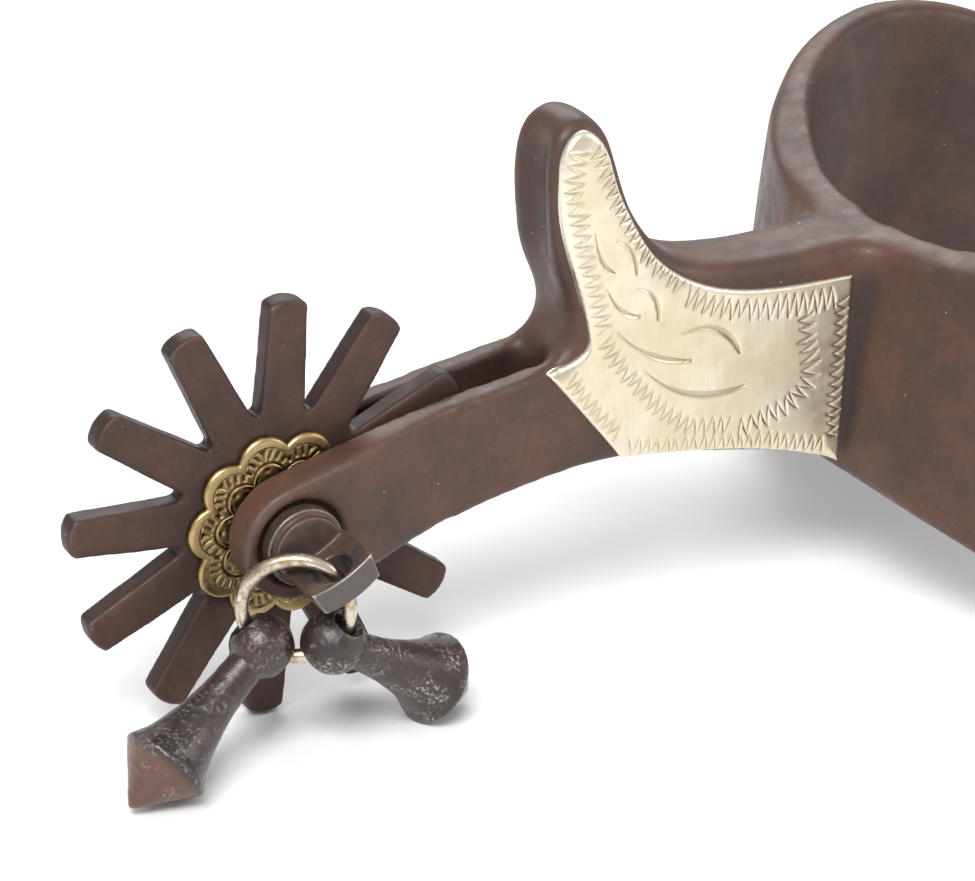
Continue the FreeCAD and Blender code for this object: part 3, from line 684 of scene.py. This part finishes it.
def zigzag(points, half_height):
    """Wriggle-cut strokes that swing from side to side along a curve, each a little bowed."""
    centres, headings = evenly(points, ZIGZAG_PITCH / 2)
    across = np.stack([-headings[:, 1], headings[:, 0]], axis=1)
    hand = np.array([noise.noise(Vector((p[0], p[1], 3.0)) * 2.0) for p in centres])
    hand *= ZIGZAG_UNEVENNESS
    swing = half_height * np.where(np.arange(len(centres)) % 2 == 0, 1.0, -1.0) * (1 + hand)
    corners = centres + across * swing[:, None] + headings * hand[:, None]
    strokes = []
    for k in range(len(corners) - 1):
        middle = (corners[k] + corners[k + 1]) / 2 + headings[k] * ZIGZAG_BOW
        strokes.append(quadratic(corners[k], middle, corners[k + 1], STROKE_POINTS))
    return strokes


# A side plate's zigzag borders, each a line of (x, z) points from the rowel's axis and half its
# height, and its gouges, each three points of a curve and its width
BORDERS = [
    ([(36.6, 38.0), (35.7, 34.8), (35.9, 31.0), (36.9, 25.0), (38.4, 19.6), (39.4, 15.6)], 1.0),
    ([(38.4, 37.6), (40.3, 33.0), (42.9, 27.8), (45.6, 23.2), (49.6, 19.0)], 0.95),
    ([(50.2, 18.2), (54.5, 15.6), (60.0, 14.3), (65.5, 13.7), (70.6, 13.6)], 1.15),
    ([(71.5, 13.4), (71.2, 5.2), (70.7, -4.6)], 0.7),
    ([(66.6, 12.2), (66.6, 8.8), (67.5, 5.0), (65.8, 1.8), (61.8, 0.2), (57.6, -0.5)], 1.0),
    ([(42.6, 0.6), (48.2, -0.7), (54.8, -1.8), (61.8, -3.1), (69.8, -5.4)], 1.0),
    ([(34.8, 11.0), (37.4, 7.2), (41.2, 2.4)], 0.9),
    ([(39.2, 14.8), (40.6, 12.2), (43.9, 8.0), (47.3, 4.2), (51.0, 1.4), (56.4, 0.2)], 0.95),
]
GOUGES = [
    ((41.0, 15.3), (45.2, 10.4), (50.9, 9.7), 0.62),
    ((44.7, 9.7), (50.4, 3.6), (58.4, 4.9), 0.85),
    ((49.8, 13.3), (55.0, 14.6), (57.5, 9.4), 0.85),
    ((39.6, 20.9), (41.2, 17.0), (43.9, 16.7), 0.5),
    ((43.6, 20.1), (46.6, 19.4), (46.4, 15.8), 0.45),
    ((38.1, 27.9), (38.6, 23.6), (40.6, 22.6), 0.4),
    ((40.9, 26.5), (43.6, 25.4), (43.5, 22.0), 0.45),
]


def near_segments(points, line_points):
    """Each point's distance to a polyline, and how far along it the nearest place is, 0 to 1."""
    best = np.full(len(points), np.inf)
    along = np.zeros(len(points))
    pieces = len(line_points) - 1
    for k in range(pieces):
        start = line_points[k]
        step = line_points[k + 1] - start
        t = np.clip((points - start) @ step / (step @ step), 0, 1)
        distance = np.linalg.norm(points - start - t[:, None] * step, axis=1)
        closer = distance < best
        best[closer] = distance[closer]
        along[closer] = (k + t[closer]) / pieces
    return best, along


def within(points, shape, margin):
    """Which points lie in the rectangle around a shape, widened by the margin."""
    low = shape.min(axis=0) - margin
    high = shape.max(axis=0) + margin
    return np.nonzero(np.all((points >= low) & (points <= high), axis=1))[0]


def engraving(points, strokes, gouges):
    """How deep the plate is cut at each point; small raised burrs are negative."""
    depth = np.zeros(len(points))
    for stroke in strokes:
        chosen = within(points, stroke, STROKE_MARGIN)
        distance, along = near_segments(points[chosen], stroke)
        fade = 0.55 + 0.45 * np.sin(np.pi * along)
        groove = STROKE_DEPTH * fade * np.clip(1 - distance / STROKE_HALF_WIDTH, 0, 1)
        beside = (distance - STROKE_HALF_WIDTH * 1.25) / (STROKE_HALF_WIDTH * 0.6)
        burr = STROKE_BURR * fade * np.exp(-beside ** 2)
        depth[chosen] = np.maximum(depth[chosen], groove - burr * (depth[chosen] < 0.01))
    for curve_points, width in gouges:
        chosen = within(points, curve_points, GOUGE_MARGIN)
        distance, along = near_segments(points[chosen], curve_points)
        reach = GOUGE_POINT_WIDTH + 0.5 * width * np.sin(np.pi * along ** 1.5)
        bowl = np.clip(1 - (distance / reach) ** 2, 0, 1)
        gouge = (GOUGE_START_DEPTH + GOUGE_EXTRA_DEPTH * along) * bowl
        depth[chosen] = np.maximum(depth[chosen], gouge)
    return depth


def plate_outline(node, side):
    """A plate's outer outline as (x, z) pairs in order, and its outer face's y at each z."""
    bm = welded([node])
    front = {face for face in bm.faces if face.normal.y * side > 0.6}
    edges = [e for e in bm.edges if sum(face in front for face in e.link_faces) == 1]
    ways = {}
    for edge in edges:
        a, b = edge.verts
        ways.setdefault(a, []).append(b)
        ways.setdefault(b, []).append(a)
    start = next(iter(ways))
    loop = [start]
    previous = None
    while True:
        here = loop[-1]
        onward = [v for v in ways[here] if v is not previous]
        if onward[0] is start:
            break
        previous = here
        loop.append(onward[0])
    outline = np.array([(v.co.x, v.co.z) for v in loop])
    corners = {v for face in front for v in face.verts}
    heights = sorted((v.co.z, abs(v.co.y)) for v in corners)
    bm.free()
    return outline, np.array(heights)


def divided(outline, step):
    """The closed outline with its sides cut to about step long."""
    points = []
    for k in range(len(outline)):
        start = outline[k]
        end = outline[(k + 1) % len(outline)]
        count = max(1, int(math.ceil(np.linalg.norm(end - start) / step)))
        points.extend(start + (end - start) * (i / count) for i in range(count))
    return np.array(points)


def inside(points, outline):
    """True for the points inside a closed outline."""
    result = np.zeros(len(points), dtype=bool)
    x, z = points.T
    for k in range(len(outline)):
        x0, z0 = outline[k]
        x1, z1 = outline[(k + 1) % len(outline)]
        crosses = (z0 > z) != (z1 > z)
        if z0 == z1:
            continue
        at = x0 + (z - z0) * (x1 - x0) / (z1 - z0)
        result ^= crosses & (x < at)
    return result


def lattice(low, high, step):
    """Evenly staggered points over a rectangle."""
    rows = np.arange(low[1], high[1], step * 0.866)
    points = []
    for k, z in enumerate(rows):
        xs = np.arange(low[0] + (k % 2) * step / 2, high[0], step)
        points.append(np.stack([xs, np.full(len(xs), z)], axis=1))
    return np.vstack(points)


def bend(face_y, x, z, side, outside):
    """How far in the sheet lies at (x, z), because it is beaten down over the rounded iron."""
    start = Vector((x, side * CLEAR_OF_THE_BODY, z))
    spot = outside.ray_cast(start, Vector((0, -side, 0)))[0]
    if spot is None:
        return PLATE_DEEPEST_BEND
    return min(max(face_y - abs(spot.y) - PLATE_LIFT, 0.0), PLATE_DEEPEST_BEND)


def plate_filling(rim, strokes, gouges):
    """Points inside a plate's rim, close together where it is cut and wide apart elsewhere."""
    low = rim.min(axis=0)
    high = rim.max(axis=0)
    coarse = lattice(low, high, PLATE_PLAIN_STEP)
    fine = lattice(low, high, PLATE_CUT_STEP)
    cuts = np.abs(engraving(fine, strokes, gouges)) > SHALLOWEST_CUT
    coarse_cut = np.abs(engraving(coarse, strokes, gouges)) > SHALLOWEST_CUT
    filling = np.vstack([coarse[~coarse_cut], fine[cuts]])
    filling = filling[inside(filling, rim)]
    rim_distance, _ = near_segments(filling, np.vstack([rim, rim[:1]]))
    return filling[rim_distance > PLATE_RIM_MARGIN]


def laid_down(flat, heights, side, outside):
    """The y, as a distance from the middle, of a sheet's face that lies on the rounded iron."""
    face_y = np.interp(flat[:, 1], heights[:, 0], heights[:, 1])
    return face_y - [bend(y, x, z, side, outside) for y, (x, z) in zip(face_y, flat)]


def make_side_plate(side, material, outside):
    """An engraved plate: a fine outer face that is cut, rolled edges and plain sides."""
    name = "left" if side > 0 else "right"
    node = "side_plate_" + name
    outline, heights = plate_outline(node, side)
    rim = divided(outline, PLATE_RIM_STEP)
    offset = np.array([ROWEL_AXIS[0], ROWEL_AXIS[2]])
    strokes = []
    for points, half_height in BORDERS:
        strokes.extend(stroke + offset for stroke in zigzag(points, half_height * BORDER_SPREAD))
    gouges = [(quadratic(a, b, c, GOUGE_POINTS) + offset, width) for a, b, c, width in GOUGES]
    flat = np.vstack([rim, plate_filling(rim, strokes, gouges)])
    count = len(rim)
    loops = [(k, (k + 1) % count) for k in range(count)]
    result = geometry.delaunay_2d_cdt([Vector(p) for p in flat], loops, [], 1, 1e-6)
    placed = np.array([tuple(p) for p in result[0]])
    faces = result[2]
    origin_of = result[3]
    distance, _ = near_segments(placed, np.vstack([rim, rim[:1]]))
    depth = engraving(placed, strokes, gouges)
    roll = PLATE_EDGE_ROLL * np.clip(1 - distance / PLATE_EDGE_ROLL, 0, 1) ** 2
    face_y = laid_down(placed, heights, side, outside) - roll - depth
    outer = np.stack([placed[:, 0], face_y * side, placed[:, 1]], axis=1)
    rim_y = laid_down(rim, heights, side, outside) - PLATE_INNER_SINK
    inner = np.stack([rim[:, 0], rim_y * side, rim[:, 1]], axis=1)
    bm = bmesh.new()
    outer_verts = [bm.verts.new(p) for p in outer]
    inner_verts = [bm.verts.new(p) for p in inner]
    for face in faces:
        bm.faces.new([outer_verts[i] for i in face])
    rim_vert = {}
    for index, sources in enumerate(origin_of):
        for source in sources:
            if source < count:
                rim_vert[source] = outer_verts[index]
    for k in range(count):
        after = (k + 1) % count
        bm.faces.new([rim_vert[k], rim_vert[after], inner_verts[after], inner_verts[k]])
    bm.faces.new(inner_verts)
    bmesh.ops.recalc_face_normals(bm, faces=bm.faces)
    bmesh.ops.triangulate(bm, faces=[f for f in bm.faces if len(f.verts) > 4])
    mesh = bpy.data.meshes.new(node)
    bm.to_mesh(mesh)
    bm.free()
    surface = Surface(mesh)
    padding = np.zeros(len(surface.points) - len(placed))
    surface.layers["cut"] = np.concatenate([depth, padding])
    edge_wear = ramp_up(-distance, *PLATE_WORN_RIM)
    surface.layers["wear"] = np.concatenate([edge_wear, padding + PLATE_SIDE_WEAR])
    make_piece("engraved_plate_" + name, surface, "spur", "nickel_silver", material, node)


# ---------------------------------------------------------------- rosettes

def lobed_radius(angle, tip, valley):
    """The outline of a rosette whose lobes are arcs."""
    step = 2 * math.pi / ROSETTE_LOBES
    within_lobe = (angle + step / 2) % step - step / 2
    centre = (tip ** 2 - valley ** 2) / (2 * (tip - valley * math.cos(step / 2)))
    lobe = tip - centre
    return centre * np.cos(within_lobe) + np.sqrt(lobe ** 2 - (centre * np.sin(within_lobe)) ** 2)


def rosette_relief(radius, angle, edge):
    """Height of the stamping from 0 to 1 on a rosette, by radius and by distance to the edge."""
    step = 2 * math.pi / ROSETTE_LOBES
    within_lobe = (angle + step / 2) % step - step / 2
    inward = edge - radius
    border = 1 - ramp_up(inward, ROSETTE_BORDER - 0.15, ROSETTE_BORDER + 0.1)
    bead = 0.88 * border * (1 - 0.15 * ((inward - ROSETTE_BORDER / 2) / ROSETTE_BORDER) ** 2)
    lean = LASHES_LEAN * (inward - LASHES_MIDDLE) * np.sign(within_lobe)
    lash = (0.5 + 0.5 * np.cos(within_lobe * ROSETTE_LOBES * ROSETTE_TEETH_PER_LOBE + lean)) ** 3
    lashes = lash * ramp_up(inward, *LASHES_START) * (1 - ramp_up(inward, *LASHES_END))
    scallop = np.exp(-((inward - SCALLOP_INWARD) / SCALLOP_WIDTH) ** 2)
    dots = (0.5 + 0.5 * np.cos(angle * ROSETTE_LOBES * DOTS_PER_LOBE)) ** 2
    dots *= np.exp(-((inward - DOTS_INWARD) / DOTS_WIDTH) ** 2)
    petals = (0.5 + 0.5 * np.cos(PETALS * angle + PETALS_TWIST * radius)) ** 2
    petals *= 1 - ramp_up(radius, *PETALS_END_RADIUS)
    ground = ROSETTE_GROUND - 0.42 * lashes - 0.35 * scallop - 0.3 * dots - 0.3 * petals
    return np.maximum(bead, ground * (1 - border))


def make_rosette(side, material):
    """A stamped disc: a fine polar face with lobed edge, its rim, and a flat back."""
    name = "left" if side > 0 else "right"
    node = "rosette_" + name
    points = read_points(frame["nodes"][node].data) / MM
    radii = np.hypot(points[:, 0] - PIN_AXIS[0], points[:, 2] - PIN_AXIS[2])
    inner_radius = radii.min()
    tip = radii.max()
    valley = tip - ROSETTE_LOBE_DEPTH
    low_y = np.abs(points[:, 1]).min()
    high_y = np.abs(points[:, 1]).max()
    sectors = ROSETTE_LOBES * ROSETTE_TEETH_PER_LOBE * ROSETTE_STEPS_PER_TOOTH
    sweep = np.arange(sectors) * 2 * math.pi / sectors
    across = np.cos(sweep + ROSETTE_FIRST_LOBE)
    upward = np.sin(sweep + ROSETTE_FIRST_LOBE)
    edge = lobed_radius(sweep, tip, valley)
    bm = bmesh.new()
    relief_values = []
    rows = []
    for k in range(ROSETTE_RINGS):
        share = k / (ROSETTE_RINGS - 1)
        radius = inner_radius + (edge - inner_radius) * share
        relief = rosette_relief(radius, sweep, edge)
        roll = np.clip(1 - (edge - radius) / ROSETTE_ROLL_WIDTH, 0, 1) ** 2 * ROSETTE_ROLL_DEPTH
        thickness = ROSETTE_SHEET_SHARE + (1 - ROSETTE_SHEET_SHARE) * relief
        y = low_y + (high_y - low_y) * thickness - roll
        x = PIN_AXIS[0] + radius * across
        z = PIN_AXIS[2] + radius * upward
        rows.append([bm.verts.new((x[i], y[i] * side, z[i])) for i in range(sectors)])
        relief_values.extend(relief)
    for radius in (edge, np.full(sectors, inner_radius)):
        x = PIN_AXIS[0] + radius * across
        z = PIN_AXIS[2] + radius * upward
        rows.append([bm.verts.new((x[i], low_y * side, z[i])) for i in range(sectors)])
        relief_values.extend([0.5] * sectors)
    rows.append(rows[0])
    for lower, upper in zip(rows[:-1], rows[1:]):
        for i in range(sectors):
            j = (i + 1) % sectors
            bm.faces.new([lower[i], lower[j], upper[j], upper[i]])
    bmesh.ops.recalc_face_normals(bm, faces=bm.faces)
    mesh = bpy.data.meshes.new(node)
    bm.to_mesh(mesh)
    bm.free()
    surface = Surface(mesh)
    surface.layers["relief"] = relief_values
    make_piece("stamped_rosette_" + name, surface, node, "antique_brass", material, node)


# ---------------------------------------------------------------- pin, ring and bobs

def make_pin(material):
    """The rowel pin, with the sawn end of its lug bare."""
    surface = remeshed(["rowel_pin"], SMALL_VOXEL)
    surface.ease(reach=0.16, rounds=8)
    from_end = surface.points[:, 1] - surface.points[:, 1].min()
    surface.layers["bare"] = 1 - ramp_up(from_end, *PIN_BARE_END)
    surface.layers["wear"] = ramp_up(surface.bulge(1), *PIN_WORN_EDGE)
    make_piece("drilled_pin", surface, "spur", "browned_steel", material, "rowel_pin")


def make_ring(material):
    """The wire ring, wound round the circle of its solid, a little thinner and unevenly worn."""
    points = read_points(frame["nodes"]["jingle_ring"].data) / MM
    centre = (points.min(axis=0) + points.max(axis=0)) / 2
    _, _, directions = np.linalg.svd(points - centre, full_matrices=False)
    first, second, normal = directions
    outermost = np.linalg.norm(points - centre, axis=1).max()
    wire = np.abs((points - centre) @ normal).max()
    bm = bmesh.new()
    rows = []
    for k in range(RING_STEPS_AROUND):
        turn = 2 * math.pi * k / RING_STEPS_AROUND
        outward = first * math.cos(turn) + second * math.sin(turn)
        dents = noise.noise(Vector(outward) * 3.0) * RING_DENTS
        radius = wire - RING_RUBBED_OFF + dents
        middle = centre + outward * (outermost - wire)
        row = []
        for i in range(RING_STEPS_IN_SECTION):
            tilt = 2 * math.pi * i / RING_STEPS_IN_SECTION
            spot = middle + (outward * math.cos(tilt) + normal * math.sin(tilt)) * radius
            row.append(bm.verts.new(spot))
        rows.append(row)
    for k in range(RING_STEPS_AROUND):
        after = rows[(k + 1) % RING_STEPS_AROUND]
        for i in range(RING_STEPS_IN_SECTION):
            j = (i + 1) % RING_STEPS_IN_SECTION
            bm.faces.new([rows[k][i], rows[k][j], after[j], after[i]])
    bmesh.ops.recalc_face_normals(bm, faces=bm.faces)
    mesh = bpy.data.meshes.new("ring")
    bm.to_mesh(mesh)
    bm.free()
    make_piece("wire_ring", Surface(mesh), "ring", "nickel_wire", material, "jingle_ring")


def make_bob(which, material, seed):
    """A jingle bob, with its cap marked from the far end."""
    node = "jingle_bob_" + which
    surface = remeshed([node], SMALL_VOXEL)
    surface.ease(reach=0.17, rounds=8)
    surface.unevenness(size=0.8, depth=0.05, seed=seed)
    surface.unevenness(size=3.0, depth=0.08, seed=seed + 3)
    surface.layers["wear"] = ramp_up(surface.bulge(2), *BOB_WORN_EDGE)
    hinge = np.array(JOINTS["bob_" + which + "_swing"]["pos_m"]) / MM
    middle = surface.points.mean(axis=0)
    outward = (middle - hinge) / np.linalg.norm(middle - hinge)
    along = (surface.points - hinge) @ outward
    surface.layers["cap"] = ramp_up(along, *(along.max() - BOB_CAP_START))
    make_piece("bob_" + which, surface, "bob_" + which, "dark_cast_iron", material, node)


def make_trim(node, name, body, slot, material, reach, seed):
    """A small plain fitting with eased edges, nothing cut into it and no bare end."""
    surface = remeshed([node], TRIM_VOXEL)
    surface.ease(reach, rounds=12)
    surface.unevenness(size=2.5, depth=0.05, seed=seed)
    surface.layers["wear"] = ramp_up(surface.bulge(2), *TRIM_WORN_EDGE)
    surface.layers["cut"] = np.zeros(len(surface.points))
    # Black oxide and painted shade in the hollows
    surface.layers["oxide_and_shade"] = oxide_and_shade_in_hollows(surface)
    surface.layers["bare"] = np.zeros(len(surface.points))
    make_piece(name, surface, body, slot, material, node)


# ---------------------------------------------------------------- stage

def make_camera():
    data = bpy.data.cameras.new("camera")
    data.lens = LENS_MM
    data.sensor_width = 36
    data.clip_start = 0.01
    data.clip_end = 20
    camera = bpy.data.objects.new("camera", data)
    bpy.context.scene.collection.objects.link(camera)
    azimuth = math.radians(VIEW_AZIMUTH)
    elevation = math.radians(VIEW_ELEVATION)
    back = Vector((
        math.sin(azimuth) * math.cos(elevation),
        -math.cos(azimuth) * math.cos(elevation),
        math.sin(elevation),
    ))
    aim = Vector(ROWEL_AXIS * MM) + Vector(AIM_FROM_ROWEL)
    camera.location = aim + back * VIEW_DISTANCE
    camera.rotation_mode = "QUATERNION"
    camera.rotation_quaternion = (-back).to_track_quat("-Z", "Y")
    bpy.context.scene.camera = camera


def make_softbox(name, place, size, watts):
    """A rectangular area light that faces the origin."""
    data = bpy.data.lights.new(name, "AREA")
    data.shape = "RECTANGLE"
    data.size, data.size_y = size
    data.energy = watts
    light = bpy.data.objects.new(name, data)
    bpy.context.scene.collection.objects.link(light)
    light.location = place
    light.rotation_mode = "QUATERNION"
    light.rotation_quaternion = (-Vector(place)).to_track_quat("-Z", "Y")


def make_stage():
    bm = bmesh.new()
    bmesh.ops.create_grid(bm, x_segments=8, y_segments=8, size=FLOOR_HALF_WIDTH)
    mesh = bpy.data.meshes.new("floor")
    bm.to_mesh(mesh)
    bm.free()
    floor = bpy.data.objects.new("floor", mesh)
    floor.location.z = -FLOOR_GAP
    bpy.context.scene.collection.objects.link(floor)
    shader = Shader("paper")
    colour = shader.blend(shader.noise(60.0), PAPER_SHADE, PAPER_LIGHT)
    grain = shader.bump(shader.noise(1.0), 0.01)
    mesh.materials.append(shader.surface(colour, 0.9, 0.0, grain))
    world = bpy.data.worlds.new("studio")
    world.use_nodes = True
    background = world.node_tree.nodes["Background"]
    background.inputs["Color"].default_value = (1.0, 1.0, 1.0, 1.0)
    background.inputs["Strength"].default_value = ROOM_LIGHT
    bpy.context.scene.world = world
    make_softbox("key", place=(-0.5, -0.55, 0.95), size=(0.6, 0.45), watts=12.5)
    make_softbox("back", place=(0.35, 0.9, 0.8), size=(0.9, 0.5), watts=7.0)
    make_softbox("side", place=(0.9, -0.5, 0.5), size=(0.5, 0.6), watts=3.0)
    bpy.context.scene.view_settings.view_transform = "Standard"


# ---------------------------------------------------------------- assembly

def make_everything():
    iron = browned_iron("browned_iron")
    dark_iron = browned_iron("rowel_iron", light=0.85, red=-0.2, worn=0.5, gloss=0.24)
    silver = nickel_silver()
    brass = antique_brass()
    steel = filed_steel()
    outside = make_forged_body(iron)
    make_rowel(dark_iron)
    for side in (1, -1):
        make_side_plate(side, silver, outside)
        make_rosette(side, brass)
    make_pin(steel)
    make_trim("rowel_pin_washer", "pin_washer", "spur", "browned_steel", steel, reach=0.15, seed=4)
    make_ring(nickel_wire())
    make_bob("rear", cast_iron("satin_casting", sparkle=0.45, red=0.6, cap_red=0.85), seed=5)
    make_bob("front", cast_iron("bright_casting", sparkle=1.0, red=0.4), seed=6)
    for side in ("left", "right"):
        body = "hanger_" + side
        for node, name, rides, slot, material, reach, seed in (
            ("hanger_", "strap_hanger_", body, "browned_iron", iron, 0.3, 7),
            ("hanger_pin_", "hinge_rivet_", "spur", "browned_steel", steel, 0.15, 8),
            ("button_stud_", "strap_stud_", body, "browned_iron", iron, 0.25, 9),
            ("button_cap_", "strap_button_cap_", body, "nickel_silver", silver, 0.2, 10),
        ):
            make_trim(node + side, name + side, rides, slot, material, reach, seed)


make_camera()
make_stage()
make_everything()
